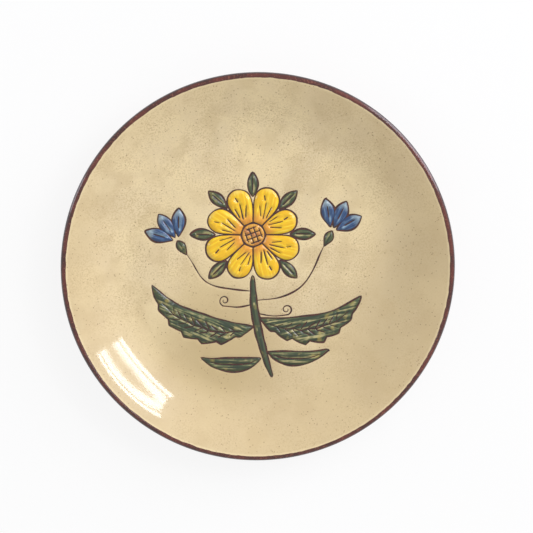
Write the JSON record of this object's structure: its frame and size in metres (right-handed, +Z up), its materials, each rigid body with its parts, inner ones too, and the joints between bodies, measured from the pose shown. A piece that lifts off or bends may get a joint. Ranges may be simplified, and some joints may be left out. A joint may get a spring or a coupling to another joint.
{
  "type": "decorative plate",
  "caption": "Round hand-painted earthenware plate: shallow dish without a flange, cream front with a flower spray, brown rim, foot ring pierced for hanging.",
  "frame": {"origin": "centre of the plane that the foot ring stands on", "axes": "+Z up along the plate's axis of revolution, out of the painted front; +Y towards the top of the painted spray; the wire holes are at the +Y side"},
  "size_m": [0.25, 0.25, 0.0305],
  "materials": {
    "clay": "clear-glazed red earthenware",
    "bare_clay": "unglazed, matte",
    "cream_slip": "glossy clear glaze over speckled cream slip",
    "iron_brown": "glossy iron-brown brushed band",
    "yellow": "glossy brushed colour",
    "amber": "glossy brushed colour",
    "leaf_green": "glossy streaky brushed colour",
    "blue": "glossy streaky brushed colour"
  },
  "bodies": {
    "root": {"clay_body": "clay", "foot_ring": "bare_clay", "slip_coat": "cream_slip", "rim_band": "iron_brown", "flower_hub": "amber", "petal_1": "yellow", "petal_2": "yellow", "petal_3": "yellow", "petal_4": "yellow", "petal_5": "yellow", "petal_6": "yellow", "petal_7": "yellow", "petal_8": "yellow", "bract_1": "amber", "bract_2": "amber", "bract_3": "amber", "bract_4": "amber", "bract_5": "amber", "bract_6": "amber", "bract_7": "amber", "stem": "leaf_green", "leaf_left": "leaf_green", "leaf_right": "leaf_green", "leaflet_left": "leaf_green", "leaflet_right": "leaf_green", "bell_left_1": "blue", "bell_left_2": "blue", "bell_left_3": "blue", "calyx_left": "leaf_green", "bell_right_1": "blue", "bell_right_2": "blue", "bell_right_3": "blue", "calyx_right": "leaf_green"}
  },
  "joints": []
}
